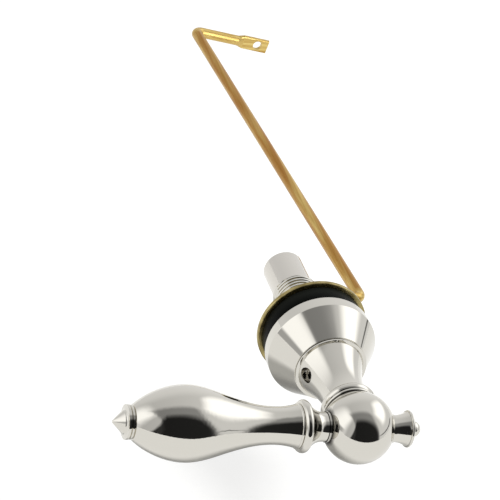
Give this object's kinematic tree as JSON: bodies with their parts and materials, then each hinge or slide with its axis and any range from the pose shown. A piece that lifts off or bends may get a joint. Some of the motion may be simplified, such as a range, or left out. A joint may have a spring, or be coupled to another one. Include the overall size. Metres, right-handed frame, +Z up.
{
  "type": "cistern lever",
  "caption": "Side-mount cistern lever with a turned vase handle on a ball hub, a conical escutcheon with a threaded shank, and a bent brass trip arm that ends in a flattened eye.",
  "frame": {"origin": "on the spindle axis where the free thread of the shank begins, at the rear face of the lock nut", "axes": "+Y along the spindle into the cistern, -X along the handle, +Z up"},
  "size_m": [0.1261, 0.2863, 0.0378],
  "materials": {
    "nickel": "polished nickel plate",
    "spindle_nickel": "bright turned nickel plate",
    "arm_brass": "drawn brass rod, lightly tarnished",
    "washer_brass": "pressed yellow brass",
    "nut_brass": "machined yellow brass",
    "rubber": "smooth moulded black rubber",
    "nylon": "plain natural nylon",
    "screw_steel": "plain stainless steel"
  },
  "bodies": {
    "mounting": {"escutcheon": "nickel", "gasket": "rubber", "clamp_washer": "washer_brass", "lock_nut": "nut_brass", "thrust_washer": "nylon"},
    "lever": {"spindle": "spindle_nickel", "hub": "nickel", "hub_grub_screw": "screw_steel", "lever_handle": "nickel", "end_finial": "nickel", "trip_arm": "arm_brass", "arm_grub_screw": "screw_steel"}
  },
  "joints": [
    {"name": "lever_turn", "type": "hinge", "parent": "mounting", "child": "lever", "pos_m": [0, 0, 0], "axis": [0, -1, 0], "range_deg": [-10, 45]}
  ]
}
